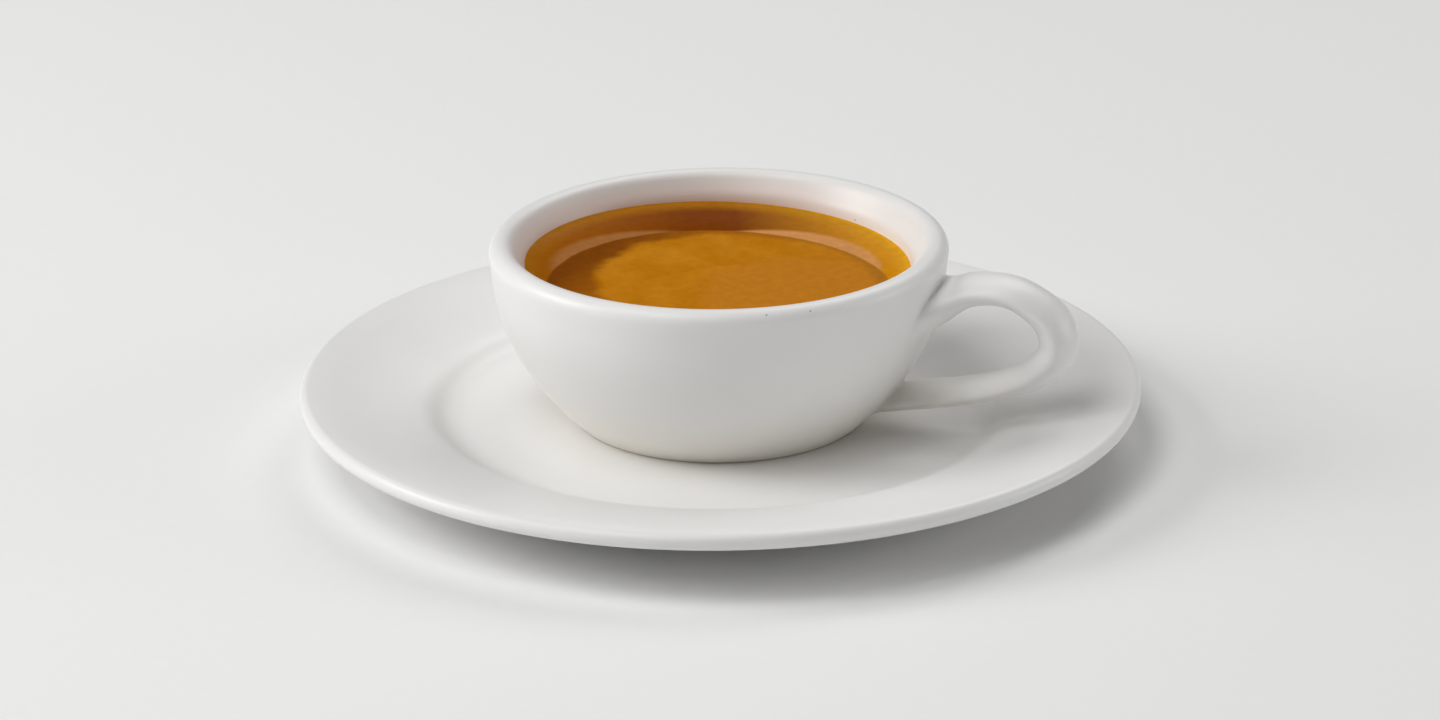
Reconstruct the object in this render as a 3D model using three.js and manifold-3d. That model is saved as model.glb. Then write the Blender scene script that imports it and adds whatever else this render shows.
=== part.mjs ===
// A cup of black coffee on its saucer, in thick white porcelain.
// Millimetres, +Z up. The origin is on the table, under the middle of the saucer's foot ring.
// The cup's handle points along +X.
import * as THREE from 'three';
import { mergeVertices } from 'three/addons/utils/BufferGeometryUtils.js';
import Module from 'manifold-3d';

// The saucer, heights above the table
const SAUCER_RADIUS = 80;
const SAUCER_LIP_TOP = 13.4;
const SAUCER_LIP_ROUND = 1.6;
const SAUCER_FOOT_OUTER = 49;
const SAUCER_FOOT_INNER = 43.5;
const SAUCER_FOOT_HEIGHT = 1.8;
const FLANGE_THICKNESS = 3.9;
const WELL_FLOOR = 6;
const WELL_RADIUS = 48.5;
const WELL_SWEEP_OUT = 5.8;
const STEP_RADIUS = 58;
const STEP_TOP = 9.2;
const STEP_SWEEP_IN = 4.7;
const STEP_SWEEP_DOWN = 1;

// The outside of the cup's bowl, heights above the saucer's well floor that it stands on
const RIM_RADIUS = 43.4;
const RIM_TOP = 35.1;
const LIP_ROUND = 2.45;
const BELLY_RADIUS = 42.9;
const BELLY_TOP = 28.1;
const BELLY_SWEEP_IN = 1.1;
const BELLY_SWEEP_DOWN = 12.7;
const CUP_FOOT_RADIUS = 27.6;
const CUP_FOOT_EDGE = 0.7;
const CUP_FOOT_SWEEP_OUT = 5.9;
const CUP_FOOT_SWEEP_UP = 5.4;
const CUP_FOOT_INNER = 23.5;
const CUP_FOOT_RECESS = 1.2;

// The hollow of the bowl, under the lip and down to its floor
const HOLLOW_RADIUS = 36.4;
const HOLLOW_TOP = 29;
const HOLLOW_SWEEP_IN = 0.8;
const HOLLOW_SWEEP_DOWN = 11;
const HOLLOW_FLOOR_RADIUS = 15;
const HOLLOW_FLOOR = 5.5;
const HOLLOW_FLOOR_SWEEP = 15;

// The handle's centre line, as distance from the cup's axis and height above its foot
const HANDLE_LINE = [
  [38.0, 22.2],
  [42.8, 25.2],
  [50.6, 28.9],
  [60.6, 27.0],
  [65.6, 19.8],
  [62.0, 13.9],
  [56.0, 10.7],
  [47.0, 8.2],
  [27.5, 5.5],
];
const HANDLE_HALF_WIDTH = 5.6;
const HANDLE_HALF_AT_TOP = 2.75;
const HANDLE_HALF_AT_FOOT = 2.2;
const HANDLE_EDGE_POWER = 1.8;
const HANDLE_BITE = 2;

// The handle swells at its far end, and flares where it meets the bowl; places are shares of its length
const END_SWELL = 1.15;
const END_ALONG = 0.44;
const END_SPREAD = 0.12;
const UPPER_FLARE = 0.55;
const LOWER_FLARE = 0.28;
const FLARE_SPREAD = 0.08;

// The coffee, up to the level that shows, which is a little lower towards the handle
const COFFEE_LEVEL = 29.2;
const COFFEE_TILT = THREE.MathUtils.degToRad(2);
const COFFEE_GAP = 0.3;

// How finely curves are cut
const TURN_STEPS = 64;
const CURVE_STEPS = 6;
const HANDLE_STEPS = 30;
const HANDLE_SIDES = 14;

const PORCELAIN = { color: '#e4e3e0', roughness: 0.16, metalness: 0 };
const CREMA = { color: '#a8660f', roughness: 0.24, metalness: 0 };

const wasm = await Module();
wasm.setup();

// Joins the shared corners of a closed surface and makes a solid of it
function solidFrom(geometry) {
  geometry.deleteAttribute('normal');
  geometry.deleteAttribute('uv');
  const merged = mergeVertices(geometry);
  const corners = merged.index.array;
  const triangles = [];
  for (let i = 0; i < corners.length; i += 3) {
    const [a, b, c] = corners.slice(i, i + 3);
    const hasArea = a !== b && b !== c && c !== a;
    if (hasArea) triangles.push(a, b, c);
  }
  const mesh = new wasm.Mesh({
    numProp: 3,
    vertProperties: new Float32Array(merged.attributes.position.array),
    triVerts: new Uint32Array(triangles),
  });
  return new wasm.Manifold(mesh);
}

// Turns a solid back into a named mesh with a material of its own
function meshFrom(solid, name, finish) {
  const { vertProperties, triVerts } = solid.getMesh();
  const geometry = new THREE.BufferGeometry();
  geometry.setAttribute('position', new THREE.BufferAttribute(vertProperties, 3));
  geometry.setIndex(new THREE.BufferAttribute(triVerts, 1));
  geometry.computeVertexNormals();
  const mesh = new THREE.Mesh(geometry, new THREE.MeshStandardMaterial(finish));
  mesh.name = name;
  return mesh;
}

// Spins a half outline about Z; it runs from the axis, out and round, and back to the axis
function turned(points) {
  const geometry = new THREE.LatheGeometry(points, TURN_STEPS);
  geometry.rotateX(Math.PI / 2);
  return solidFrom(geometry);
}

// The saucer: foot ring, sloping flange with a round lip, soft step and flat well
function makeSaucer() {
  const lipCentre = SAUCER_RADIUS - SAUCER_LIP_ROUND;
  const lipMiddle = SAUCER_LIP_TOP - SAUCER_LIP_ROUND;
  const outline = new THREE.Path();
  outline.moveTo(0, SAUCER_FOOT_HEIGHT);
  outline.lineTo(SAUCER_FOOT_INNER - SAUCER_FOOT_HEIGHT, SAUCER_FOOT_HEIGHT);
  outline.lineTo(SAUCER_FOOT_INNER, 0);
  outline.lineTo(SAUCER_FOOT_OUTER, 0);
  outline.lineTo(SAUCER_FOOT_OUTER + SAUCER_FOOT_HEIGHT, SAUCER_FOOT_HEIGHT);
  outline.quadraticCurveTo(
    STEP_RADIUS, STEP_TOP - FLANGE_THICKNESS,
    lipCentre, lipMiddle - SAUCER_LIP_ROUND,
  );
  outline.absarc(lipCentre, lipMiddle, SAUCER_LIP_ROUND, -Math.PI / 2, Math.PI / 2, false);
  outline.lineTo(STEP_RADIUS, STEP_TOP);
  outline.bezierCurveTo(
    STEP_RADIUS - STEP_SWEEP_IN, STEP_TOP - STEP_SWEEP_DOWN,
    WELL_RADIUS + WELL_SWEEP_OUT, WELL_FLOOR,
    WELL_RADIUS, WELL_FLOOR,
  );
  outline.lineTo(0, WELL_FLOOR);
  return turned(outline.getPoints(CURVE_STEPS));
}

// Draws the outside of the bowl from its foot up to the lip, moved in by an inset
function drawBelly(outline, inset) {
  const footEdge = CUP_FOOT_RADIUS + CUP_FOOT_EDGE - inset;
  const belly = BELLY_RADIUS - inset;
  outline.lineTo(CUP_FOOT_RADIUS - inset, 0);
  outline.lineTo(footEdge, CUP_FOOT_EDGE);
  outline.bezierCurveTo(
    footEdge + CUP_FOOT_SWEEP_OUT, CUP_FOOT_EDGE + CUP_FOOT_SWEEP_UP,
    belly - BELLY_SWEEP_IN, BELLY_TOP - BELLY_SWEEP_DOWN,
    belly, BELLY_TOP,
  );
  outline.lineTo(RIM_RADIUS - inset, RIM_TOP - LIP_ROUND);
}

// The points of the bowl's hollow, from the axis at its floor up to the lip, moved in by an inset
function hollowPoints(inset) {
  const outline = new THREE.Path();
  outline.moveTo(0, HOLLOW_FLOOR);
  outline.lineTo(HOLLOW_FLOOR_RADIUS - inset, HOLLOW_FLOOR);
  outline.bezierCurveTo(
    HOLLOW_FLOOR_RADIUS + HOLLOW_FLOOR_SWEEP - inset, HOLLOW_FLOOR,
    HOLLOW_RADIUS - HOLLOW_SWEEP_IN - inset, HOLLOW_TOP - HOLLOW_SWEEP_DOWN,
    HOLLOW_RADIUS - inset, HOLLOW_TOP,
  );
  outline.lineTo(RIM_RADIUS - 2 * LIP_ROUND - inset, RIM_TOP - LIP_ROUND);
  return outline.getPoints(CURVE_STEPS);
}

// The cup's bowl: foot ring, round belly, thick round lip and smooth hollow
function makeBowl() {
  const outside = new THREE.Path();
  outside.moveTo(0, CUP_FOOT_RECESS);
  outside.lineTo(CUP_FOOT_INNER - CUP_FOOT_RECESS, CUP_FOOT_RECESS);
  outside.lineTo(CUP_FOOT_INNER, 0);
  drawBelly(outside, 0);
  outside.absarc(RIM_RADIUS - LIP_ROUND, RIM_TOP - LIP_ROUND, LIP_ROUND, 0, Math.PI, false);
  const inside = hollowPoints(0).reverse().slice(1);
  return turned([...outside.getPoints(CURVE_STEPS), ...inside]);
}

// One coordinate of a round section whose sides run to soft edges
function softEdged(value) {
  return Math.sign(value) * Math.abs(value) ** (2 / HANDLE_EDGE_POWER);
}

// The bar of the handle along its centre line, swelling at the far end and flared at its roots
function makeHandleBar() {
  const line = new THREE.CatmullRomCurve3(
    HANDLE_LINE.map(([reach, height]) => new THREE.Vector3(reach, 0, height)),
  );
  const positions = [];
  const corners = [];
  for (let step = 0; step <= HANDLE_STEPS; step += 1) {
    const along = step / HANDLE_STEPS;
    const centre = line.getPointAt(along);
    const heading = line.getTangentAt(along);
    const outward = new THREE.Vector3(-heading.z, 0, heading.x);
    const upperFlare = UPPER_FLARE * Math.exp(-along / FLARE_SPREAD);
    const lowerFlare = LOWER_FLARE * Math.exp((along - 1) / FLARE_SPREAD);
    const flare = 1 + upperFlare + lowerFlare;
    const swell = END_SWELL * Math.exp(-(((along - END_ALONG) / END_SPREAD) ** 2));
    const plainHalf = THREE.MathUtils.lerp(HANDLE_HALF_AT_TOP, HANDLE_HALF_AT_FOOT, along);
    for (let side = 0; side < HANDLE_SIDES; side += 1) {
      const turn = 2 * Math.PI * side / HANDLE_SIDES;
      const lift = softEdged(Math.sin(turn)) * (plainHalf * flare + swell);
      const corner = centre.clone().addScaledVector(outward, lift);
      positions.push(corner.x, softEdged(Math.cos(turn)) * HANDLE_HALF_WIDTH * flare, corner.z);
    }
  }
  for (let step = 0; step < HANDLE_STEPS; step += 1) {
    for (let side = 0; side < HANDLE_SIDES; side += 1) {
      const a = step * HANDLE_SIDES + side;
      const b = step * HANDLE_SIDES + (side + 1) % HANDLE_SIDES;
      corners.push(a, b, a + HANDLE_SIDES, b, b + HANDLE_SIDES, a + HANDLE_SIDES);
    }
  }
  const last = HANDLE_STEPS * HANDLE_SIDES;
  for (let side = 1; side < HANDLE_SIDES - 1; side += 1) {
    corners.push(0, side + 1, side, last, last + side, last + side + 1);
  }
  const geometry = new THREE.BufferGeometry();
  geometry.setAttribute('position', new THREE.Float32BufferAttribute(positions, 3));
  geometry.setIndex(corners);
  return solidFrom(geometry);
}

// The cup is one piece of porcelain: the handle's ends stop inside the wall of the bowl
function makeCup() {
  const core = new THREE.Path();
  core.moveTo(0, 0);
  drawBelly(core, HANDLE_BITE);
  core.lineTo(0, RIM_TOP - LIP_ROUND);
  const handle = makeHandleBar().subtract(turned(core.getPoints(CURVE_STEPS)));
  return makeBowl().add(handle);
}

// The coffee stands on the hollow's floor, a hair clear of the wall, and is cut off at its level
function makeCoffee() {
  const filling = hollowPoints(COFFEE_GAP);
  filling.push(new THREE.Vector2(0, RIM_TOP - LIP_ROUND));
  const above = new THREE.BoxGeometry(3 * RIM_RADIUS, 3 * RIM_RADIUS, RIM_TOP);
  above.translate(0, 0, RIM_TOP / 2);
  above.rotateY(COFFEE_TILT);
  above.translate(0, 0, COFFEE_LEVEL);
  return turned(filling).subtract(solidFrom(above));
}

const served = new THREE.Group();
served.position.z = WELL_FLOOR;
served.add(meshFrom(makeCup(), 'cup', PORCELAIN));
served.add(meshFrom(makeCoffee(), 'coffee', CREMA));

const group = new THREE.Group();
group.add(meshFrom(makeSaucer(), 'saucer', PORCELAIN));
group.add(served);

export default group;
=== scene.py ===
"""Dresses a cup of coffee on its saucer: glazed porcelain, golden crema and a plain studio.

Lengths are in metres. The part's frame has +Z up along the cup's axis and +X towards the handle.
"""
import math

import bmesh
import bpy
from bpy.props import FloatProperty, FloatVectorProperty, PointerProperty
from bpy.types import Operator, Panel, PropertyGroup
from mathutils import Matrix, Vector
from mathutils.bvhtree import BVHTree
from mathutils.geometry import interpolate_bezier


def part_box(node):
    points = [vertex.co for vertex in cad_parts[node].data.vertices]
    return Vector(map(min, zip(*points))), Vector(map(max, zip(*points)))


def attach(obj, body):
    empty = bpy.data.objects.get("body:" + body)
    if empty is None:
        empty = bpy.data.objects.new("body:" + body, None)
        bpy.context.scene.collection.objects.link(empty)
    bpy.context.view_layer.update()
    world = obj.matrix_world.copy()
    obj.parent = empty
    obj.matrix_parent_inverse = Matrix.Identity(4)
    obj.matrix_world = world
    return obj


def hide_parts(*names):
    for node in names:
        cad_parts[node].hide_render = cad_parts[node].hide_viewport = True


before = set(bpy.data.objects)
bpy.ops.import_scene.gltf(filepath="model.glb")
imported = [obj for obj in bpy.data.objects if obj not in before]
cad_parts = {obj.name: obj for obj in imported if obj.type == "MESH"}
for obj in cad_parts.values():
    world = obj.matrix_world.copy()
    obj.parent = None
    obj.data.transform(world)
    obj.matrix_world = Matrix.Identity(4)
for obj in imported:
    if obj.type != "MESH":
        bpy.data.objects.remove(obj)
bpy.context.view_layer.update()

bl_info = {
    "name": "Cup of coffee on a saucer",
    "version": (1, 0, 0),
    "blender": (4, 5, 0),
    "location": "View3D > Sidebar > Coffee",
    "description": "Models a porcelain cup of coffee on its saucer, and sets it in a plain studio",
    "category": "Add Mesh",
}

MM = 0.001
SAUCER_LOW, SAUCER_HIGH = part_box("saucer")
CUP_LOW, CUP_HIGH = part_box("cup")
COFFEE_LOW, COFFEE_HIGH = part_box("coffee")

# The coffee's surface falls towards the handle; its level is the height at the cup's axis
COFFEE_TILT = math.radians(2)
COFFEE_LEVEL = COFFEE_HIGH.z + COFFEE_LOW.x * math.tan(COFFEE_TILT)

# The handle's centre line, from upper root to lower root: reach from the axis, height above the foot
HANDLE_LINE = [
    (38.0, 22.2), (42.8, 25.2), (50.6, 28.9), (60.6, 27.0), (65.6, 19.8),
    (62.0, 13.9), (56.0, 10.7), (47.0, 8.2), (27.5, 5.5),
]

# Iron specks to be seen on the cup: two on the front lip and one inside
CUP_SPECKS = [
    Vector((19.65, -37.89, 40.37)) * MM,
    Vector((26.67, -33.5, 40.22)) * MM,
    Vector((18.61, 31.33, 35.43)) * MM,
]
SPECK_CORE = 0.1 * MM
SPECK_EDGE = 0.25 * MM

# Painted warm bounce light from the coffee on the inner wall: radii where it fades, reach above and below the
# coffee's line, X where it thins
COFFEE_BOUNCE_RADIUS = 38.0 * MM
COFFEE_BOUNCE_RADIUS_END = 40.0 * MM
COFFEE_BOUNCE_HEIGHT = 6.0 * MM
COFFEE_BOUNCE_START_BELOW = 2.0 * MM
COFFEE_BOUNCE_FULL_BELOW = 1.5 * MM
COFFEE_BOUNCE_FULL_X = -10.0 * MM
COFFEE_BOUNCE_END_X = 30.0 * MM

# How high the painted warm bounce light from the saucer reaches above the cup's foot
SAUCER_BOUNCE_HEIGHT = 14.0 * MM

# Zones of the froth and of its painted reflections on the pattern's plane, in millimetres: centre, radius and
# half of the soft edge
MIDDLE_ZONE = ((0.25, -12.6), 32.4, 0.35)
ISLAND_ZONE = ((3.2, -8.5), 26.2, 1.6)
SMOOTH_ZONE = ((17.5, -16.0), 21.0, 4.0)
OFF_WALL_ZONE = ((-0.1, -1.5), 34.8, 3.0)
# The two streak zones hold painted reflections of the lit lip
RIGHT_LIP_REFLECTION_ZONE = ((10.65, 0.72), 20.0, 0.9)
LEFT_LIP_REFLECTION_ZONE = ((-11.55, -1.2), 20.0, 1.2)

# Half of the pattern's width, and where the amber starts and ends along its slant, in millimetres
PATTERN_HALF = 36.0
AMBER_SLANT = (1, -0.55, 0)
AMBER_START = -26.0
AMBER_END = 23.0

# How finely the round bodies, the handle and the coffee's surface are divided
SPIN_STEPS = 192
CURVE_STEPS = 28
ARC_STEPS = 14
HANDLE_CORNERS = 40
HANDLE_RINGS = 84
FILLET_RINGS = 7
SURFACE_RINGS = 12

# Edges that turn more than this stay sharp
SMOOTH_ANGLE = math.radians(40)

# Where the lip's round ends inside the cup, in degrees from its outside
LIP_INNER_END = 150

# Shares of the centre line's length: where the strap starts and stops short of the bowl
STRAP_START = 0.105
STRAP_STOP = 0.80

# How much the strap flares at each root, how fast that fades, and where it swells
UPPER_FLARE = 0.55
LOWER_FLARE = 0.28
FLARE_FADE = 0.08
SWELL_AT = 0.44
SWELL_FADE = 0.12

# Where the centre line leaves the bowl above, and how fast the upper root narrows
UPPER_WALL_ALONG = 0.069
UPPER_SPREAD_FADE = 0.04

# How full the strap's section is, where 2 is an oval, and how much fuller at the upper root
STRAP_FULLNESS = 1.8
ROOT_FULLNESS = 0.6

# How far the wall is opened beyond a root's edge, and the most of the gap that a fillet takes up
ROOT_MARGIN = 0.8 * MM
FILLET_SHARE = 0.9

# Faces whose normals lean at least this much towards +X are the bowl's outside
OUTSIDE_LEAN = 0.05

# The coffee's edge outside its solid's, where its side stops below the top, and its surface's depth
EDGE_ALLOWANCE = 0.3 * MM
SIDE_BELOW_TOP = 5.0 * MM
SURFACE_DEPTH = 0.1 * MM

# The studio's floor, soft lights and camera back
FLOOR_WIDTH = 20
LIGHT_DISTANCE = 1.6
LIGHT_WIDTH = 0.8
SENSOR_WIDTH = 36


def linear(code):
    """Turns an sRGB hex code into linear red, green and blue with full alpha."""
    shares = [int(code[i:i + 2], 16) / 255 for i in (1, 3, 5)]
    return [s / 12.92 if s <= 0.04045 else ((s + 0.055) / 1.055) ** 2.4 for s in shares] + [1.0]


def size(name, description, millimetres):
    """Describes a length that a user may change."""
    return FloatProperty(name=name, description=description, default=millimetres * MM, unit="LENGTH")


def colour(name, description, code):
    """Describes a colour that a user may change."""
    return FloatVectorProperty(
        name=name, description=description, default=linear(code), size=4, min=0, max=1, subtype="COLOR",
    )


class SaucerSizes(PropertyGroup):
    """Sizes of the saucer; heights are above the table"""

    radius: size("Radius", "From the axis to the outside of the lip", SAUCER_HIGH.x / MM)
    lip_top: size("Lip top", "Height of the lip's top", SAUCER_HIGH.z / MM)
    lip_round: size("Lip round", "Radius of the lip's round edge", 1.6)
    foot_outer: size("Foot outside", "Outer radius of the foot ring's flat", 49.0)
    foot_inner: size("Foot inside", "Inner radius of the foot ring's flat", 43.5)
    foot_height: size("Foot height", "How far the foot ring stands down", 1.8)
    flange: size("Flange thickness", "Thickness of the sloping flange at the step", 3.9)
    well_floor: size("Well floor", "Height of the flat that the cup stands on", CUP_LOW.z / MM)
    well_radius: size("Well radius", "Radius of the flat well", 48.5)
    well_sweep: size("Well sweep", "How far the well's curve runs out before it rises", 5.8)
    step_radius: size("Step radius", "Radius where the step meets the flange", 58.0)
    step_top: size("Step top", "Height where the step meets the flange", 9.2)
    step_sweep_in: size("Step sweep in", "How far the step's curve leans inwards", 4.7)
    step_sweep_down: size("Step sweep down", "How far the step's curve leans down", 1.0)


class CupSizes(PropertyGroup):
    """Sizes of the cup; heights are above its foot"""

    rim_radius: size("Rim radius", "From the axis to the outside of the lip", -CUP_LOW.x / MM)
    rim_top: size("Rim top", "Height of the lip's top", (CUP_HIGH.z - CUP_LOW.z) / MM)
    lip_round: size("Lip round", "Radius of the lip's round edge", 2.45)
    belly_radius: size("Belly radius", "Radius where the belly meets the lip", 42.9)
    belly_top: size("Belly top", "Height where the belly meets the lip", 28.1)
    belly_sweep_in: size("Belly sweep in", "How far the belly's curve leans inwards", 1.1)
    belly_sweep_down: size("Belly sweep down", "How far the belly's curve runs down", 12.7)
    foot_radius: size("Foot radius", "Outer radius of the foot's flat", 27.6)
    foot_edge: size("Foot edge", "Chamfer at the foot's edge", 0.7)
    foot_sweep_out: size("Foot sweep out", "How far the belly's curve runs out from the foot", 5.9)
    foot_sweep_up: size("Foot sweep up", "How far the belly's curve runs up from the foot", 5.4)
    foot_inner: size("Foot inside", "Inner radius of the foot ring", 23.5)
    foot_recess: size("Foot recess", "Depth of the hollow under the foot", 1.2)
    hollow_radius: size("Hollow radius", "Radius of the hollow below the lip", 36.4)
    hollow_top: size("Hollow top", "Height where the hollow's curve ends", 29.0)
    hollow_sweep_in: size("Hollow sweep in", "How far the hollow's wall leans inwards", 0.8)
    hollow_sweep_down: size("Hollow sweep down", "How far the hollow's wall runs down", 11.0)
    floor_radius: size("Floor radius", "Radius of the hollow's flat floor", 15.0)
    floor_height: size("Floor height", "Height of the hollow's floor", 5.5)
    floor_sweep: size("Floor sweep", "How far the floor's curve runs out", 15.0)


class HandleSizes(PropertyGroup):
    """Sizes of the handle's strap, measured from its centre line"""

    half_width: size("Half width", "Half of the strap's width", 5.6)
    half_at_top: size("Half thickness above", "Half of the strap's thickness at the upper root", 2.75)
    half_at_foot: size("Half thickness below", "Half of the strap's thickness at the lower root", 2.2)
    end_swell: size("End swell", "How much thicker each half is at the far end", 1.15)
    root_spread: size("Root spread", "How much wider each half is where the upper root meets the bowl", 5.9)
    root_lift: size("Root lift", "How far the upper root's edges turn up", 2.1)
    upper_fillet: size("Upper fillet", "How far the upper root's fillet runs", 0.7)
    lower_fillet: size("Lower fillet", "How far the lower root's fillet runs", 1.6)


class CoffeeSizes(PropertyGroup):
    """Sizes of the coffee"""

    tilt: FloatProperty(
        name="Tilt", description="How far the surface falls towards the handle", default=COFFEE_TILT,
        unit="ROTATION",
    )
    into_wall: size("Into wall", "How far the coffee reaches into the porcelain", 0.15)
    creep: size("Creep", "How high the crema's edge creeps up the wall", 0.45)
    creep_width: size("Creep width", "How far from the wall that edge begins", 1.8)
    pattern_turn: FloatProperty(
        name="Pattern turn", description="How far the froth's pattern is turned round from the handle",
        default=math.radians(16.0), unit="ROTATION",
    )


class Finishes(PropertyGroup):
    """Colours of the porcelain, the coffee and the floor"""

    glaze: colour("Glaze", "White of the glazed porcelain", "#F4F3F1")
    bare_clay: colour("Bare clay", "Unglazed ring under the foot", "#CFC6B6")
    speck: colour("Speck", "Iron specks in the glaze", "#6E6459")
    # Painted warm bounce light from the saucer on the cup's low sides, given as a warmer glaze
    saucer_bounce_tint: colour("Pooled glaze", "Glaze where it pools above the foot", "#F3EEE4")
    # Painted warm bounce light from the coffee on the inner wall away from the handle
    film: colour("Film", "Film that coffee leaves on the wall", "#DCC3B6")
    gold: colour("Gold", "Froth of the island", "#C0780C")
    pale_gold: colour("Pale gold", "Clouds of thicker froth in the island", "#CA841C")
    tawny: colour("Tawny", "Froth of the island's smoother side", "#C57D20")
    # Thin froth: its own tone with painted shade at the far left and painted bounce light near the handle
    amber_left_painted_shade: colour("Amber, left", "Thin froth beside the island, far from the handle", "#7D4208")
    amber_mid: colour("Amber, middle", "Thin froth close to the island", "#A6610C")
    amber_right_painted_bounce: colour("Amber, right", "Thin froth beside the island, near the handle", "#AF6F1B")
    # Outer ring: painted reflection of the shaded wall, darkest at the back, with painted shade on the left
    # and painted bounce light near the handle
    ring_left_painted_shade: colour("Ring, left", "Outer ring, far from the handle", "#A05A06")
    ring_back_painted_reflection: colour("Ring, back", "Outer ring at the back", "#7C3B00")
    ring_right_painted_bounce: colour("Ring, right", "Outer ring, near the handle", "#D08904")
    # Froth at the wall: darker away from the handle as painted shade, brighter near it as painted bounce
    # light from the lit wall
    edge_froth_painted_shade: colour("Edge, left", "Froth at the wall, far from the handle", "#B07010")
    edge_froth_painted_bounce: colour("Edge, right", "Froth at the wall, near the handle", "#DEA018")
    # Painted reflections of the brightly lit lip in the coffee, given as pale streaks
    lip_reflection_left: colour("Streak, left", "Pale streak, far from the handle", "#A66C38")
    lip_reflection_right: colour("Streak, right", "Pale streak, near the handle", "#D69556")
    floor: colour("Floor", "Pale matt floor", "#F6F6F5")


class StudioSettings(PropertyGroup):
    """Lights and camera"""

    key_power: FloatProperty(name="Key", description="Light from the left", default=13.3, unit="POWER")
    high_power: FloatProperty(name="High", description="Light from overhead", default=6.8, unit="POWER")
    front_power: FloatProperty(name="Front", description="Light from in front", default=4.2, unit="POWER")
    back_power: FloatProperty(name="Back", description="Light from behind", default=5.8, unit="POWER")
    side_power: FloatProperty(name="Side", description="Low light from the right", default=5.8, unit="POWER")
    sky: FloatProperty(name="Sky", description="Strength of the even light all round", default=0.06)
    turn: FloatProperty(
        name="Turn", description="How far the camera stands round towards the handle",
        default=math.radians(16.0), unit="ROTATION",
    )
    elevation: FloatProperty(
        name="Elevation", description="How far the camera looks down", default=math.radians(20.64),
        unit="ROTATION",
    )
    roll: FloatProperty(
        name="Roll", description="How far the camera leans to its left", default=math.radians(0.62),
        unit="ROTATION",
    )
    aim: size("Aim", "Height that the camera looks at", 16.07)
    distance: size("Distance", "From the camera to its aim", 838.5)
    lens: FloatProperty(name="Lens", description="Focal length on a 36 mm film", default=110.0)


def add_node(tree, kind, inputs=None, stops=None, **settings):
    """Adds a node, applies its settings, colour stops and inputs, and returns it."""
    node = tree.nodes.new(kind)
    for setting, value in settings.items():
        setattr(node, setting, value)
    for number, (place, shade) in enumerate(stops or []):
        ramp = node.color_ramp.elements
        stop = ramp[number] if number < len(ramp) else ramp.new(place)
        stop.position = place
        stop.color = shade
    for socket, value in (inputs or {}).items():
        if isinstance(value, bpy.types.NodeSocket):
            tree.links.new(value, node.inputs[socket])
        else:
            node.inputs[socket].default_value = value
    return node


def new_material(name):
    """Starts an empty node material and returns it with its tree."""
    material = bpy.data.materials.new(name)
    material.use_nodes = True
    material.node_tree.nodes.clear()
    return material, material.node_tree


def round_zone(tree, place, centre, radius, fade):
    """Gives 1 inside a circle on the pattern's millimetre plane and 0 outside it."""
    away = add_node(
        tree, "ShaderNodeVectorMath", {0: place, 1: (centre[0], centre[1], 0)}, operation="DISTANCE",
    )
    inside = add_node(tree, "ShaderNodeMapRange", {
        "Value": away.outputs["Value"], "From Min": radius - fade, "From Max": radius + fade,
        "To Min": 1.0, "To Max": 0.0,
    }, interpolation_type="SMOOTHSTEP")
    return inside.outputs["Result"]


def mixed(tree, share, first, second):
    """Mixes two colours, or a colour and a socket, by a share."""
    mix = add_node(tree, "ShaderNodeMix", {0: share, 6: first, 7: second}, data_type="RGBA")
    return mix.outputs[2]


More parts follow.
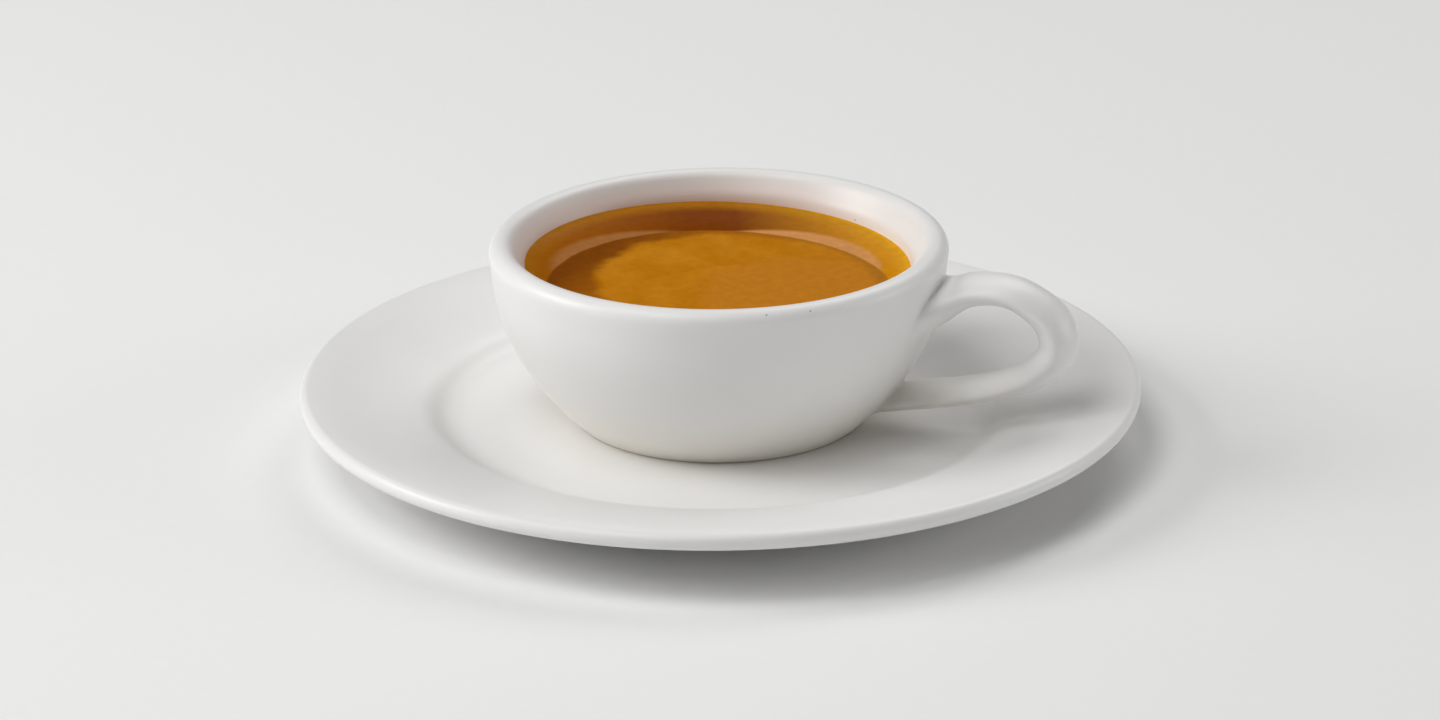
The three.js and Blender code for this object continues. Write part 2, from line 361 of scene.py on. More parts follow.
def glazed_porcelain(name, foot_plane, finishes, coffee_line=None):
    """White porcelain dipped in clear glaze and fired: smooth, softly shining and faintly rippled.

    The glaze gives broad soft reflections; the ring that stands on the kiln shelf stays bare and dull.
    A coffee line is given for the cup alone: it gets painted warm bounce light from the saucer low down and
    from the coffee on the wall above that line, and the specks that are placed one by one.
    """
    material, tree = new_material(name)
    place = add_node(tree, "ShaderNodeTexCoord").outputs["Object"]
    depth = add_node(tree, "ShaderNodeSeparateXYZ", {0: place}).outputs["Z"]
    # Slow drift in the glaze's thickness, about 14 mm across
    drift = add_node(tree, "ShaderNodeTexNoise", {
        "Vector": place, "Scale": 1 / (14 * MM), "Detail": 2.0,
    })
    thick_glaze = [0.965 * share for share in finishes.glaze[:3]] + [1.0]
    white = mixed(tree, drift.outputs["Fac"], finishes.glaze, thick_glaze)
    # Rare iron specks, only a few on each piece and under half a millimetre wide
    grains = add_node(tree, "ShaderNodeTexVoronoi", {"Vector": place, "Scale": 1 / (7 * MM)})
    rare = add_node(tree, "ShaderNodeMapRange", {
        "Value": grains.outputs["Color"], "From Min": 0.95, "From Max": 0.955,
    })
    grain = add_node(tree, "ShaderNodeMapRange", {
        "Value": grains.outputs["Distance"], "From Min": 0.015, "From Max": 0.035,
        "To Min": 0.6, "To Max": 0.0,
    })
    speckled = add_node(tree, "ShaderNodeMath", {
        0: rare.outputs["Result"], 1: grain.outputs["Result"],
    }, operation="MULTIPLY")
    white = mixed(tree, speckled.outputs["Value"], white, finishes.speck)
    if coffee_line is not None:
        # Painted warm bounce light from the saucer, warmest at the foot and gone at this height
        saucer_bounce_share = add_node(tree, "ShaderNodeMapRange", {
            "Value": depth, "From Min": foot_plane, "From Max": foot_plane + SAUCER_BOUNCE_HEIGHT,
            "To Min": 1.0, "To Max": 0.0,
        })
        white = mixed(tree, saucer_bounce_share.outputs["Result"], white, finishes.saucer_bounce_tint)
        # Painted warm bounce light from the coffee on the wall above it
        white = painted_coffee_bounce(tree, place, depth, coffee_line, white, finishes)
        for spot in CUP_SPECKS:
            away = add_node(tree, "ShaderNodeVectorMath", {0: place, 1: spot}, operation="DISTANCE")
            dot = add_node(tree, "ShaderNodeMapRange", {
                "Value": away.outputs["Value"], "From Min": SPECK_CORE, "From Max": SPECK_EDGE,
                "To Min": 0.6, "To Max": 0.0,
            })
            white = mixed(tree, dot.outputs["Result"], white, finishes.speck)
    bare = add_node(tree, "ShaderNodeMapRange", {
        "Value": depth, "From Min": foot_plane + 0.2 * MM, "From Max": foot_plane + 0.5 * MM,
        "To Min": 1.0, "To Max": 0.0,
    })
    body = mixed(tree, bare.outputs["Result"], white, finishes.bare_clay)
    dull = add_node(tree, "ShaderNodeMapRange", {
        "Value": bare.outputs["Result"], "To Min": 0.38, "To Max": 0.8,
    })
    # Ripple of the run glaze, about 5 mm across and a few hundredths of a millimetre deep
    ripple = add_node(tree, "ShaderNodeTexNoise", {
        "Vector": place, "Scale": 1 / (5 * MM), "Detail": 1.0,
    })
    bump = add_node(tree, "ShaderNodeBump", {
        "Height": ripple.outputs["Fac"], "Strength": 0.35, "Distance": 0.05 * MM,
    })
    shader = add_node(tree, "ShaderNodeBsdfPrincipled", {
        "Base Color": body, "Roughness": dull.outputs["Result"], "IOR": 1.5, "Normal": bump.outputs["Normal"],
    })
    add_node(tree, "ShaderNodeOutputMaterial", {"Surface": shader.outputs["BSDF"]})
    return material


def painted_coffee_bounce(tree, place, depth, coffee_line, white, finishes):
    """Paints warm bounce light from the coffee on the wall above it: most at the line, and away from the
    handle, where the wall lies in shade.
    """
    level = add_node(tree, "ShaderNodeVectorMath", {0: place, 1: (1, 1, 0)}, operation="MULTIPLY")
    radius = add_node(tree, "ShaderNodeVectorMath", {0: level.outputs["Vector"]}, operation="LENGTH")
    inner = add_node(tree, "ShaderNodeMapRange", {
        "Value": radius.outputs["Value"], "From Min": COFFEE_BOUNCE_RADIUS, "From Max": COFFEE_BOUNCE_RADIUS_END,
        "To Min": 1.0, "To Max": 0.0,
    })
    low = add_node(tree, "ShaderNodeMapRange", {
        "Value": depth, "From Min": coffee_line, "From Max": coffee_line + COFFEE_BOUNCE_HEIGHT,
        "To Min": 1.0, "To Max": 0.2,
    })
    far_side = add_node(tree, "ShaderNodeMapRange", {
        "Value": add_node(tree, "ShaderNodeSeparateXYZ", {0: place}).outputs["X"],
        "From Min": COFFEE_BOUNCE_FULL_X, "From Max": COFFEE_BOUNCE_END_X, "To Min": 1.0, "To Max": 0.0,
    }, interpolation_type="SMOOTHSTEP")
    above = add_node(tree, "ShaderNodeMapRange", {
        "Value": depth, "From Min": coffee_line - COFFEE_BOUNCE_START_BELOW, "From Max": coffee_line - COFFEE_BOUNCE_FULL_BELOW,
        "To Min": 0.0, "To Max": low.outputs["Result"],
    })
    wall_bounce_share = add_node(tree, "ShaderNodeMath", {
        0: inner.outputs["Result"], 1: above.outputs["Result"],
    }, operation="MULTIPLY")
    share = add_node(tree, "ShaderNodeMath", {
        0: wall_bounce_share.outputs["Value"], 1: far_side.outputs["Result"],
    }, operation="MULTIPLY")
    return mixed(tree, share.outputs["Value"], white, finishes.film)


def crema(name, turn, finishes):
    """Fine espresso froth on black coffee: a thick golden island and thinner amber round it.

    Froth scatters light back, so the gloss is faint; the island's and thin froth's tones come from how thick
    the froth lies.
    The pale streaks and the outer ring are painted reflections; the darker left and brighter right are
    painted shade and bounce light.
    """
    material, tree = new_material(name)
    place = add_node(tree, "ShaderNodeTexCoord").outputs["Object"]
    # The pattern's plane is flat, in millimetres, and turned round from the handle
    flat = add_node(tree, "ShaderNodeMapping", {
        "Vector": place, "Rotation": (0, 0, -turn), "Scale": (1 / MM, 1 / MM, 0),
    }).outputs["Vector"]
    # Stirred edges that wander over 7 mm with finer waves on top: widely at the island, and little elsewhere
    wander = add_node(tree, "ShaderNodeTexNoise", {
        "Vector": flat, "Scale": 1 / 7, "Detail": 6.0, "Roughness": 0.6,
    })
    shift = add_node(tree, "ShaderNodeVectorMath", {
        0: wander.outputs["Color"], 1: (0.5, 0.5, 0.5),
    }, operation="SUBTRACT").outputs["Vector"]
    swirl = add_node(tree, "ShaderNodeVectorMath", {
        0: shift, 1: (5.0, 5.0, 0.0), 2: flat,
    }, operation="MULTIPLY_ADD").outputs["Vector"]
    slow = add_node(tree, "ShaderNodeVectorMath", {
        0: shift, 1: (1.2, 1.2, 0.0), 2: flat,
    }, operation="MULTIPLY_ADD").outputs["Vector"]
    middle = round_zone(tree, slow, *MIDDLE_ZONE)
    island = round_zone(tree, swirl, *ISLAND_ZONE)
    smooth_side = round_zone(tree, swirl, *SMOOTH_ZONE)
    off_wall = round_zone(tree, slow, *OFF_WALL_ZONE)
    right_lip_reflection_share = round_zone(tree, slow, *RIGHT_LIP_REFLECTION_ZONE)
    left_lip_reflection_share = round_zone(tree, slow, *LEFT_LIP_REFLECTION_ZONE)
    # From 0 at the left wall to 1 at the right wall
    across = add_node(tree, "ShaderNodeMapRange", {
        "Value": add_node(tree, "ShaderNodeSeparateXYZ", {0: flat}).outputs["X"],
        "From Min": -PATTERN_HALF, "From Max": PATTERN_HALF,
    }).outputs["Result"]
    # Outer ring: painted reflection of the shaded wall at the back, painted shade on the left, painted bounce
    # light near the handle
    ring = add_node(tree, "ShaderNodeValToRGB", {"Fac": across}, stops=[
        (0.05, finishes.ring_left_painted_shade), (0.42, finishes.ring_back_painted_reflection), (0.55, finishes.ring_back_painted_reflection),
        (0.88, finishes.ring_right_painted_bounce),
    ]).outputs["Color"]
    # The thin froth: its own tone, with painted shade making it dark at the far left and painted bounce light
    # making it golden at the front right
    slant = add_node(tree, "ShaderNodeVectorMath", {0: swirl, 1: AMBER_SLANT}, operation="DOT_PRODUCT")
    forward = add_node(tree, "ShaderNodeMapRange", {
        "Value": slant.outputs["Value"], "From Min": AMBER_START, "From Max": AMBER_END,
    })
    amber = add_node(tree, "ShaderNodeValToRGB", {"Fac": forward.outputs["Result"]}, stops=[
        (0.0, finishes.amber_left_painted_shade), (0.3, finishes.amber_mid), (1.0, finishes.amber_right_painted_bounce),
    ]).outputs["Color"]
    # Froth at the wall, with painted shade away from the handle and painted bounce light near it
    froth = add_node(tree, "ShaderNodeValToRGB", {"Fac": across}, stops=[
        (0.5, finishes.edge_froth_painted_shade), (0.95, finishes.edge_froth_painted_bounce),
    ]).outputs["Color"]
    # Painted reflections of the lit lip, laid over the outer ring
    outside = mixed(tree, right_lip_reflection_share, ring, finishes.lip_reflection_right)
    outside = mixed(tree, left_lip_reflection_share, outside, finishes.lip_reflection_left)
    outside = mixed(tree, off_wall, froth, outside)
    # Clouds of thicker froth in the island, about 9 mm across
    cloud = add_node(tree, "ShaderNodeTexNoise", {"Vector": swirl, "Scale": 1 / 9, "Detail": 3.0})
    cloudy = add_node(tree, "ShaderNodeMapRange", {
        "Value": cloud.outputs["Fac"], "From Min": 0.4, "From Max": 0.65,
    })
    golden = mixed(tree, cloudy.outputs["Result"], finishes.gold, finishes.pale_gold)
    thick = mixed(tree, smooth_side, golden, finishes.tawny)
    inside = mixed(tree, island, amber, thick)
    surface = mixed(tree, middle, outside, inside)
    # Mottling of the froth, drawn at 2 mm because the real bubbles are too small to show
    mottle = add_node(tree, "ShaderNodeTexNoise", {
        "Vector": flat, "Scale": 1 / 2.0, "Detail": 6.0, "Roughness": 0.6,
    }).outputs["Fac"]
    uneven = add_node(tree, "ShaderNodeMapRange", {
        "Value": mottle, "From Min": 0.3, "From Max": 0.7, "To Min": 0.9, "To Max": 1.08,
    })
    shaded = add_node(tree, "ShaderNodeVectorMath", {
        0: surface, "Scale": uneven.outputs["Result"],
    }, operation="SCALE")
    bump = add_node(tree, "ShaderNodeBump", {"Height": mottle, "Strength": 0.15, "Distance": 0.05 * MM})
    shader = add_node(tree, "ShaderNodeBsdfPrincipled", {
        "Base Color": shaded.outputs["Vector"], "Roughness": 0.2, "IOR": 1.33,
        "Specular IOR Level": 0.02, "Normal": bump.outputs["Normal"],
    })
    add_node(tree, "ShaderNodeOutputMaterial", {"Surface": shader.outputs["BSDF"]})
    return material


def matt_floor(name, finishes):
    """Rolled matt paper: pale, even and without gloss."""
    material, tree = new_material(name)
    place = add_node(tree, "ShaderNodeTexCoord").outputs["Object"]
    # Paper fibre, drawn at 3 mm
    fibre = add_node(tree, "ShaderNodeTexNoise", {"Vector": place, "Scale": 1 / (3 * MM), "Detail": 3.0})
    shade = [0.98 * share for share in finishes.floor[:3]] + [1.0]
    paper = mixed(tree, fibre.outputs["Fac"], finishes.floor, shade)
    shader = add_node(tree, "ShaderNodeBsdfPrincipled", {
        "Base Color": paper, "Roughness": 0.9, "Specular IOR Level": 0.2,
    })
    add_node(tree, "ShaderNodeOutputMaterial", {"Surface": shader.outputs["BSDF"]})
    return material


def deselect_all():
    """Leaves nothing selected, so that the next operator acts on one new piece alone."""
    bpy.ops.object.select_all(action="DESELECT")


def at(radius, height):
    """A point of a half outline, in the XZ plane."""
    return Vector((radius, 0, height))


def arc(centre, radius, first, last):
    """Points of an arc in the XZ plane, from one angle in degrees to another."""
    turns = [math.radians(first + (last - first) * i / ARC_STEPS) for i in range(ARC_STEPS + 1)]
    return [centre + at(radius * math.cos(turn), radius * math.sin(turn)) for turn in turns]


def spin_body(name, outline):
    """Extrudes one corner along a half outline, from axis to axis, and spins it into a closed body."""
    deselect_all()
    bpy.ops.mesh.primitive_plane_add(size=MM, location=(0, 0, 0))
    body = bpy.context.object
    body.name = name
    bpy.ops.object.mode_set(mode="EDIT")
    bpy.ops.mesh.select_mode(type="VERT")
    bpy.ops.mesh.merge(type="CENTER")
    bpy.ops.transform.translate(value=outline[0])
    for start, stop in zip(outline, outline[1:]):
        bpy.ops.mesh.extrude_region_move(TRANSFORM_OT_translate={"value": stop - start})
    bpy.ops.mesh.select_all(action="SELECT")
    bpy.ops.mesh.spin(steps=SPIN_STEPS, angle=math.tau, center=(0, 0, 0), axis=(0, 0, 1))
    bpy.ops.mesh.select_all(action="SELECT")
    bpy.ops.mesh.remove_doubles(threshold=0.01 * MM)
    bpy.ops.mesh.normals_make_consistent(inside=False)
    bpy.ops.object.mode_set(mode="OBJECT")
    return body


def saucer_outline(sizes):
    """The saucer's half outline: underside from the axis out, round the lip, and back over the well."""
    under_flange = at(sizes.foot_outer + sizes.foot_height, sizes.foot_height)
    lip_centre = at(sizes.radius - sizes.lip_round, sizes.lip_top - sizes.lip_round)
    lip_under = lip_centre - at(0, sizes.lip_round)
    bend = at(sizes.step_radius, sizes.step_top - sizes.flange)
    step = at(sizes.step_radius, sizes.step_top)
    well = at(sizes.well_radius, sizes.well_floor)
    underside = interpolate_bezier(
        under_flange, under_flange.lerp(bend, 2 / 3), lip_under.lerp(bend, 2 / 3), lip_under, CURVE_STEPS,
    )
    step_curve = interpolate_bezier(
        step, step - at(sizes.step_sweep_in, sizes.step_sweep_down), well + at(sizes.well_sweep, 0), well,
        CURVE_STEPS,
    )
    lip = arc(lip_centre, sizes.lip_round, -90, 90)
    return [
        at(0, sizes.foot_height),
        at(sizes.foot_inner - sizes.foot_height, sizes.foot_height),
        at(sizes.foot_inner, 0),
        at(sizes.foot_outer, 0),
        *underside,
        *lip[1:],
        *[lip[-1].lerp(step, share) for share in (0.25, 0.5, 0.75)],
        *step_curve,
        *[at(sizes.well_radius * share, sizes.well_floor) for share in (0.9, 0.75, 0.5, 0.25, 0)],
    ]


def hollow_outline(sizes, grow=0.0):
    """The cup's hollow from its floor's middle up to the lip, grown outwards by a little if asked."""
    wall = at(sizes.hollow_radius + grow, sizes.hollow_top)
    floor = at(sizes.floor_radius, sizes.floor_height - grow)
    curve = interpolate_bezier(
        floor, floor + at(sizes.floor_sweep, 0),
        wall - at(sizes.hollow_sweep_in, sizes.hollow_sweep_down), wall, CURVE_STEPS,
    )
    return [at(0, sizes.floor_height - grow), at(sizes.floor_radius / 2, sizes.floor_height - grow), *curve]


def bowl_outline(sizes):
    """The bowl's half outline: foot, belly, round lip, and down the hollow to its floor."""
    edge = at(sizes.foot_radius + sizes.foot_edge, sizes.foot_edge)
    belly = at(sizes.belly_radius, sizes.belly_top)
    belly_curve = interpolate_bezier(
        edge, edge + at(sizes.foot_sweep_out, sizes.foot_sweep_up),
        belly - at(sizes.belly_sweep_in, sizes.belly_sweep_down), belly, CURVE_STEPS,
    )
    lip_centre = at(sizes.rim_radius - sizes.lip_round, sizes.rim_top - sizes.lip_round)
    lip = arc(lip_centre, sizes.lip_round, 0, LIP_INNER_END)
    hollow = hollow_outline(sizes)
    lip_slope = at(-math.sin(math.radians(LIP_INNER_END)), math.cos(math.radians(LIP_INNER_END)))
    wall_slope = at(sizes.hollow_sweep_in, sizes.hollow_sweep_down).normalized()
    blend = sizes.lip_round
    inner_slope = interpolate_bezier(
        lip[-1], lip[-1] + lip_slope * blend, hollow[-1] + wall_slope * blend, hollow[-1], ARC_STEPS,
    )
    outline = [
        at(0, sizes.foot_recess),
        at(sizes.foot_inner - sizes.foot_recess, sizes.foot_recess),
        at(sizes.foot_inner, 0),
        at(sizes.foot_radius, 0),
        *belly_curve,
        *[belly.lerp(lip[0], share) for share in (0.3, 0.65)],
        *lip,
        *inner_slope[1:-1],
        *hollow[::-1],
    ]
    return [point + at(0, CUP_LOW.z) for point in outline]


def half_section(sizes, along):
    """Half thickness and half width of the strap at a share of its length."""
    flare_above = UPPER_FLARE * math.exp(-along / FLARE_FADE)
    flare_below = LOWER_FLARE * math.exp((along - 1) / FLARE_FADE)
    flare = 1 + flare_above + flare_below
    swell = sizes.end_swell * math.exp(-((along - SWELL_AT) / SWELL_FADE) ** 2)
    plain = sizes.half_at_top + (sizes.half_at_foot - sizes.half_at_top) * along
    spread = sizes.root_spread * near_upper_root(along)
    return plain * flare + swell, sizes.half_width * flare + spread


def near_upper_root(along):
    """One where the upper root meets the bowl, and less with each share of the strap's length."""
    return math.exp(-(along - UPPER_WALL_ALONG) / UPPER_SPREAD_FADE)


def bend_strap(sizes, first, last):
    """Extrudes the strap as a straight bar and bends it along the ear's centre line.

    It runs from one share of the line to another, open at both ends.
    """
    deselect_all()
    bpy.ops.curve.primitive_bezier_curve_add(location=(0, 0, 0))
    line = bpy.context.object
    line.data.dimensions = "2D"
    line.data.resolution_u = 64
    spline = line.data.splines[0]
    spline.bezier_points.add(len(HANDLE_LINE) - len(spline.bezier_points))
    for point, (reach, height) in zip(spline.bezier_points, HANDLE_LINE):
        point.co = (reach * MM, height * MM, 0)
    bpy.ops.object.mode_set(mode="EDIT")
    bpy.ops.curve.select_all(action="SELECT")
    bpy.ops.curve.handle_type_set(type="AUTOMATIC")
    bpy.ops.object.mode_set(mode="OBJECT")
    length = line.data.splines[0].calc_length()
    deselect_all()
    bpy.ops.mesh.primitive_circle_add(vertices=HANDLE_CORNERS, radius=1, location=(0, 0, 0))
    strap = bpy.context.object
    bpy.ops.object.mode_set(mode="EDIT")
    bpy.ops.transform.rotate(value=math.pi / 2, orient_axis="Y", center_override=(0, 0, 0))
    thickness, width = half_section(sizes, first)
    bpy.ops.transform.resize(value=(1, thickness, width), center_override=(0, 0, 0))
    bpy.ops.transform.translate(value=(first * length, 0, 0))
    stride = (last - first) / HANDLE_RINGS
    for ring in range(1, HANDLE_RINGS + 1):
        bpy.ops.mesh.extrude_region_move(TRANSFORM_OT_translate={"value": (stride * length, 0, 0)})
        next_thickness, next_width = half_section(sizes, first + stride * ring)
        growth = (1, next_thickness / thickness, next_width / width)
        bpy.ops.transform.resize(value=growth, center_override=(0, 0, 0))
        thickness, width = next_thickness, next_width
    shape_section(strap, sizes, length)
    bpy.ops.object.mode_set(mode="OBJECT")
    bend = strap.modifiers.new("bend along the ear", "CURVE")
    bend.object = line
    bend.deform_axis = "POS_X"
    bpy.ops.object.modifier_apply(modifier=bend.name)
    bpy.data.objects.remove(line)
    # The ear was bent flat on the ground, and now stands up on the cup's foot
    bpy.ops.object.mode_set(mode="EDIT")
    bpy.ops.mesh.select_all(action="SELECT")
    stand_up(strap)
    bpy.ops.transform.translate(value=(0, 0, CUP_LOW.z))
    bpy.ops.object.mode_set(mode="OBJECT")
    return strap


def shape_section(strap, sizes, length):
    """Draws the round section out to soft edges, as a pulled strap has, turned up at the upper root."""
    mesh = bmesh.from_edit_mesh(strap.data)
    for vert in mesh.verts:
        along = vert.co.x / length
        near = near_upper_root(along)
        fullness = STRAP_FULLNESS + ROOT_FULLNESS * near
        half_thickness, half_width = half_section(sizes, along)
        up = min(abs(vert.co.y) / half_thickness, 1.0)
        across = min(abs(vert.co.z) / half_width, 1.0) ** (2 / fullness)
        vert.co.y = math.copysign(half_thickness * up ** (2 / fullness), vert.co.y)
        vert.co.y += sizes.root_lift * near * across ** 2
        vert.co.z = math.copysign(half_width * across, vert.co.z)
    bmesh.update_edit_mesh(strap.data)


def stand_up(strap):
    """Turns the flat ear so that its height, drawn along Y, runs up Z."""
    mesh = bmesh.from_edit_mesh(strap.data)
    for vert in mesh.verts:
        vert.co = (vert.co.x, -vert.co.z, vert.co.y)
    bmesh.update_edit_mesh(strap.data)


def flare_root(strap, bowl_tree, fillet, upper):
    """Extrudes one open end of the strap onto the bowl in a hollow fillet, and returns its footprint."""
    bpy.ops.object.mode_set(mode="EDIT")
    bpy.ops.mesh.select_mode(type="EDGE")
    bpy.ops.mesh.select_all(action="DESELECT")
    mesh = bmesh.from_edit_mesh(strap.data)
    open_edges = [edge for edge in mesh.edges if edge.is_boundary]
    split = sum((edge.verts[0].co.z for edge in open_edges), 0.0) / len(open_edges)
    ring = [edge for edge in open_edges if (edge.verts[0].co.z > split) == upper]
    corners = list({vert for edge in ring for vert in edge.verts})
    middle = sum((vert.co for vert in corners), Vector()) / len(corners)
    sweeps = {}
    for vert in corners:
        behind = next(e.other_vert(vert) for e in vert.link_edges if not e.is_boundary)
        heading = (vert.co - behind.co).normalized()
        hit, normal, _, _ = bowl_tree.ray_cast(vert.co, heading)
        if hit is None:
            raise RuntimeError("The handle's root misses the bowl")
        spread = vert.co - middle
        spread -= normal * spread.dot(normal)
        landing, _, _, _ = bowl_tree.find_nearest(hit + spread.normalized() * fillet)
        back = min(fillet, FILLET_SHARE * (hit - vert.co).length)
        sweeps[vert.co.to_tuple(7)] = (hit - heading * back, hit.copy(), landing)
    for edge in ring:
        edge.select_set(True)
    bmesh.update_edit_mesh(strap.data)
    for step in range(FILLET_RINGS + 1):
        share = step / FILLET_RINGS
        bpy.ops.mesh.extrude_edges_move()
        mesh = bmesh.from_edit_mesh(strap.data)
        moved = {}
        for vert in [vert for vert in mesh.verts if vert.select]:
            sweep = sweeps[vert.co.to_tuple(7)]
            start, knee, landing = sweep
            vert.co = start.lerp(knee, share).lerp(knee.lerp(landing, share), share)
            moved[vert.co.to_tuple(7)] = sweep
        sweeps = moved
        bmesh.update_edit_mesh(strap.data)
    footprint = [sweep[2] for sweep in sweeps.values()]
    bpy.ops.object.mode_set(mode="OBJECT")
    return footprint


def open_wall(bowl, footprint, margin):
    """Deletes the bowl's outer faces under a root's footprint, grown by a margin."""
    middle = sum(footprint, Vector()) / len(footprint)
    outline = [point + (point - middle).normalized() * margin for point in footprint]
    outline.sort(key=lambda point: math.atan2(point.z - middle.z, point.y - middle.y))
    sides = list(zip(outline, outline[1:] + outline[:1]))

    def covered(place):
        crossings = 0
        for start, stop in sides:
            if (start.z > place.z) != (stop.z > place.z):
                share = (place.z - start.z) / (stop.z - start.z)
                crossings += place.y < start.y + share * (stop.y - start.y)
        return crossings % 2 == 1

    mesh = bmesh.new()
    mesh.from_mesh(bowl.data)
    under = [
        face for face in mesh.faces
        if face.calc_center_median().x > 0 and face.normal.x > OUTSIDE_LEAN
        and any(covered(vert.co) for vert in face.verts)
    ]
    bmesh.ops.delete(mesh, geom=under, context="FACES")
    mesh.to_mesh(bowl.data)
    mesh.free()


def bridge_roots(cup):
    """Bridges each root's edge to the opening in the wall, so that cup and handle are one skin."""
    bpy.ops.object.mode_set(mode="EDIT")
    bpy.ops.mesh.select_mode(type="EDGE")
    mesh = bmesh.from_edit_mesh(cup.data)
    heights = sorted(edge.verts[0].co.z for edge in mesh.edges if edge.is_boundary)
    # The widest step in height lies between the two roots
    _, between = max((above - below, (above + below) / 2) for below, above in zip(heights, heights[1:]))
    for upper in (True, False):
        bpy.ops.mesh.select_all(action="DESELECT")
        mesh = bmesh.from_edit_mesh(cup.data)
        for edge in mesh.edges:
            if edge.is_boundary and (edge.verts[0].co.z > between) == upper:
                edge.select_set(True)
        bmesh.update_edit_mesh(cup.data)
        bpy.ops.mesh.bridge_edge_loops()
    bpy.ops.mesh.select_all(action="SELECT")
    bpy.ops.mesh.normals_make_consistent(inside=False)
    mesh = bmesh.from_edit_mesh(cup.data)
    if not all(edge.is_manifold for edge in mesh.edges):
        raise RuntimeError("The cup's skin isn't closed at the handle's roots")
    bpy.ops.object.mode_set(mode="OBJECT")


def finish_piece(piece, node, material):
    """Gives a piece its smooth shading and material, hangs it on the root body, and hides the imported part
    it replaces.
    """
    deselect_all()
    piece.select_set(True)
    bpy.context.view_layer.objects.active = piece
    bpy.ops.object.shade_smooth_by_angle(angle=SMOOTH_ANGLE)
    piece.data.materials.clear()
    piece.data.materials.append(material)
    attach(piece, "root")
    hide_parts(node)


class COFFEE_OT_saucer(Operator):
    """Models the saucer: foot ring, sloping flange, round lip and flat well"""

    bl_idname = "coffee_set.saucer"
    bl_label = "Saucer"

    def execute(self, context):
        saucer = spin_body("saucer_porcelain", saucer_outline(context.scene.saucer_sizes))
        glaze = glazed_porcelain("glazed porcelain, saucer", SAUCER_LOW.z, context.scene.finishes)
        finish_piece(saucer, "saucer", glaze)
        return {"FINISHED"}


class COFFEE_OT_cup(Operator):
    """Models the cup: one skin of round bowl, thick lip and ear handle"""

    bl_idname = "coffee_set.cup"
    bl_label = "Cup"

    def execute(self, context):
        sizes = context.scene.handle_sizes
        bowl = spin_body("cup_porcelain", bowl_outline(context.scene.cup_sizes))
        bowl_tree = BVHTree.FromObject(bowl, context.evaluated_depsgraph_get())
        strap = bend_strap(sizes, first=STRAP_START, last=STRAP_STOP)
        for upper, fillet in ((True, sizes.upper_fillet), (False, sizes.lower_fillet)):
            footprint = flare_root(strap, bowl_tree, fillet, upper)
            open_wall(bowl, footprint, ROOT_MARGIN)
        deselect_all()
        strap.select_set(True)
        bowl.select_set(True)
        context.view_layer.objects.active = bowl
        bpy.ops.object.join()
        bridge_roots(bowl)
        glaze = glazed_porcelain("glazed porcelain, cup", CUP_LOW.z, context.scene.finishes, COFFEE_LEVEL)
        finish_piece(bowl, "cup", glaze)
        return {"FINISHED"}


class COFFEE_OT_coffee(Operator):
    """Models the coffee: a filling that meets the wall, with its crema creeping up at the edge"""

    bl_idname = "coffee_set.coffee"
    bl_label = "Coffee"

    def execute(self, context):
        sizes = context.scene.coffee_sizes
        cup = context.scene.cup_sizes
        level = COFFEE_LEVEL
        side = [
            point + at(0, CUP_LOW.z) for point in hollow_outline(cup, sizes.into_wall)
            if point.z + CUP_LOW.z < COFFEE_HIGH.z - SIDE_BELOW_TOP
        ]
        edge = (COFFEE_HIGH.x - COFFEE_LOW.x) / 2 + EDGE_ALLOWANCE + sizes.into_wall
        top = interpolate_bezier(
            at(edge, level + sizes.creep), at(edge - sizes.creep_width / 3, level),
            at(edge - sizes.creep_width / 2, level), at(edge - sizes.creep_width, level), ARC_STEPS,
        )
        rings = [at(top[-1].x * (1 - step / SURFACE_RINGS), level) for step in range(1, SURFACE_RINGS + 1)]
        coffee = spin_body("coffee_with_crema", [*side, *top, *rings])
        bpy.ops.object.mode_set(mode="EDIT")
        bpy.ops.mesh.select_mode(type="VERT")
        bpy.ops.mesh.select_all(action="DESELECT")
        mesh = bmesh.from_edit_mesh(coffee.data)
        for vert in mesh.verts:
            vert.select_set(vert.co.z > level - SURFACE_DEPTH)
        bmesh.update_edit_mesh(coffee.data)
        bpy.ops.transform.rotate(value=-sizes.tilt, orient_axis="Y", center_override=(0, 0, level))
        bpy.ops.transform.translate(value=((COFFEE_HIGH.x + COFFEE_LOW.x) / 2, 0, 0))
        bpy.ops.object.mode_set(mode="OBJECT")
        froth = crema("espresso crema", sizes.pattern_turn, context.scene.finishes)
        finish_piece(coffee, "coffee", froth)
        return {"FINISHED"}


def soft_light(name, toward, aim, power):
    """Adds a square soft light that stands off in a direction and faces the aim."""
    lamp = bpy.data.lights.new(name, "AREA")
    lamp.shape = "SQUARE"
    lamp.size = LIGHT_WIDTH
    lamp.energy = power
    light = bpy.data.objects.new(name, lamp)
    light.location = aim + toward * LIGHT_DISTANCE
    light.rotation_euler = toward.to_track_quat("Z", "Y").to_euler()
    bpy.context.collection.objects.link(light)


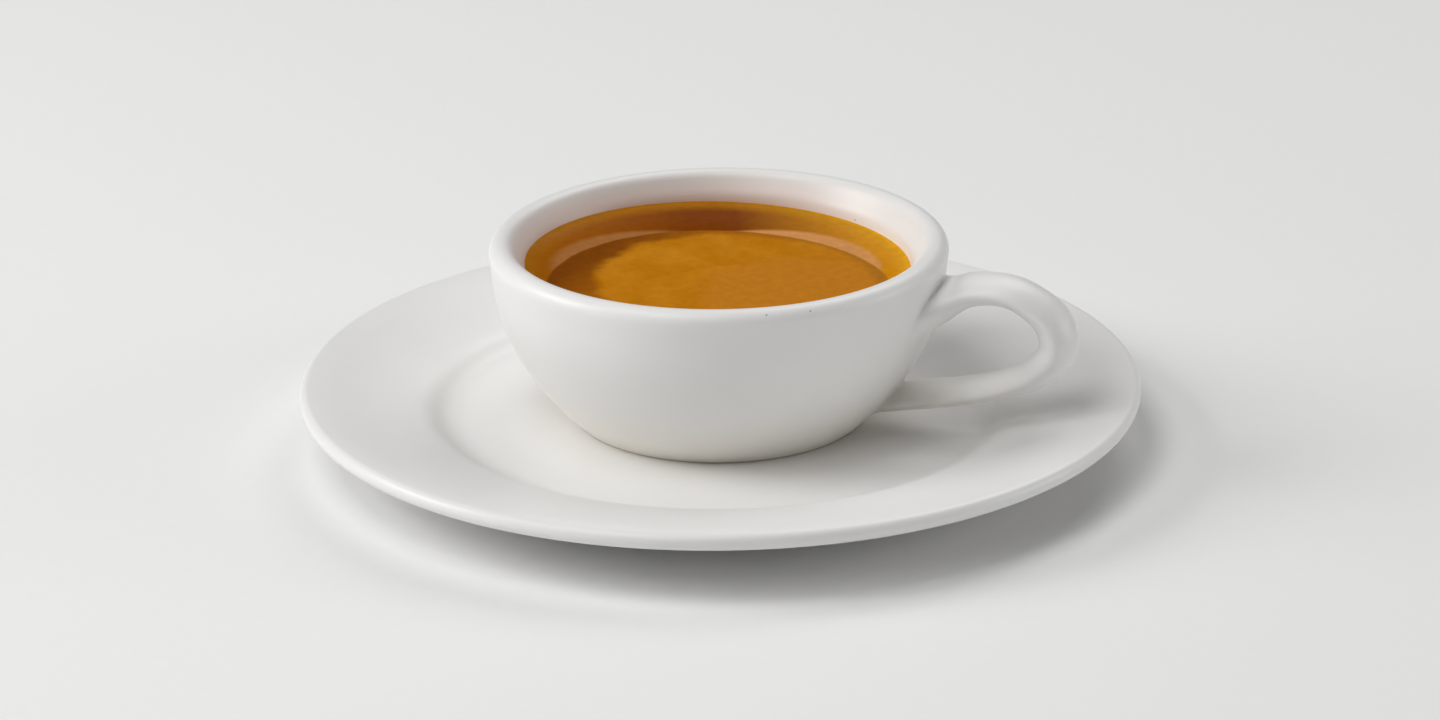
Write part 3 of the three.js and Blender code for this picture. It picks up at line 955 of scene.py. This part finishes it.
class COFFEE_OT_stage(Operator):
    """Lays the floor, hangs the soft lights and stands the camera at the photograph's angle"""

    bl_idname = "coffee_set.stage"
    bl_label = "Stage"

    def execute(self, context):
        studio = context.scene.studio
        deselect_all()
        bpy.ops.mesh.primitive_plane_add(size=FLOOR_WIDTH, location=(0, 0, 0))
        floor = context.object
        floor.name = "floor"
        floor.data.materials.append(matt_floor("rolled matt paper", context.scene.finishes))

        right = Vector((math.cos(studio.turn), math.sin(studio.turn), 0))
        away = Vector((-right.y, right.x, 0))
        up = Vector((0, 0, 1))
        aim = Vector((0, 0, studio.aim))
        # Each light's bearing is clockwise from straight behind the cup, in degrees
        lights = [
            ("key light", 270, 30, studio.key_power),
            ("high light", 240, 68, studio.high_power),
            ("front light", 210, 48, studio.front_power),
            ("back light", 30, 48, studio.back_power),
            ("side light", 90, 12, studio.side_power),
        ]
        for name, bearing, height, power in lights:
            level = away * math.cos(math.radians(bearing)) + right * math.sin(math.radians(bearing))
            toward = level * math.cos(math.radians(height)) + up * math.sin(math.radians(height))
            soft_light(name, toward, aim, power)

        world = bpy.data.worlds.new("even studio light")
        world.use_nodes = True
        background = world.node_tree.nodes["Background"]
        background.inputs["Color"].default_value = linear("#FFFFFF")
        background.inputs["Strength"].default_value = studio.sky
        context.scene.world = world
        context.scene.view_settings.view_transform = "Standard"

        flat = math.cos(studio.elevation)
        toward = -away * flat + up * math.sin(studio.elevation)
        lens = bpy.data.cameras.new("camera")
        lens.lens = studio.lens
        lens.sensor_width = SENSOR_WIDTH
        camera = bpy.data.objects.new("camera", lens)
        camera.location = aim + toward * studio.distance
        camera.rotation_euler = (-toward).to_track_quat("-Z", "Y").to_euler()
        camera.rotation_euler.rotate_axis("Z", -studio.roll)
        context.collection.objects.link(camera)
        context.scene.camera = camera
        return {"FINISHED"}


class COFFEE_PT_set(Panel):
    """Lists the steps of making the coffee set"""

    bl_label = "Cup of coffee"
    bl_space_type = "VIEW_3D"
    bl_region_type = "UI"
    bl_category = "Coffee"

    def draw(self, context):
        for step in STEPS:
            self.layout.operator(step.bl_idname)


STEPS = (COFFEE_OT_saucer, COFFEE_OT_cup, COFFEE_OT_coffee, COFFEE_OT_stage)
SETTINGS = {
    "saucer_sizes": SaucerSizes,
    "cup_sizes": CupSizes,
    "handle_sizes": HandleSizes,
    "coffee_sizes": CoffeeSizes,
    "finishes": Finishes,
    "studio": StudioSettings,
}


def register():
    """Registers the settings, the operators and the panel."""
    for name, group in SETTINGS.items():
        bpy.utils.register_class(group)
        setattr(bpy.types.Scene, name, PointerProperty(type=group))
    for step in (*STEPS, COFFEE_PT_set):
        bpy.utils.register_class(step)


def unregister():
    """Takes away the panel, the operators and the settings."""
    for step in (COFFEE_PT_set, *reversed(STEPS)):
        bpy.utils.unregister_class(step)
    for name, group in reversed(SETTINGS.items()):
        delattr(bpy.types.Scene, name)
        bpy.utils.unregister_class(group)


def main():
    """Makes every piece and the stage."""
    register()
    bpy.ops.coffee_set.saucer()
    bpy.ops.coffee_set.cup()
    bpy.ops.coffee_set.coffee()
    bpy.ops.coffee_set.stage()


if __name__ == "__main__":
    main()
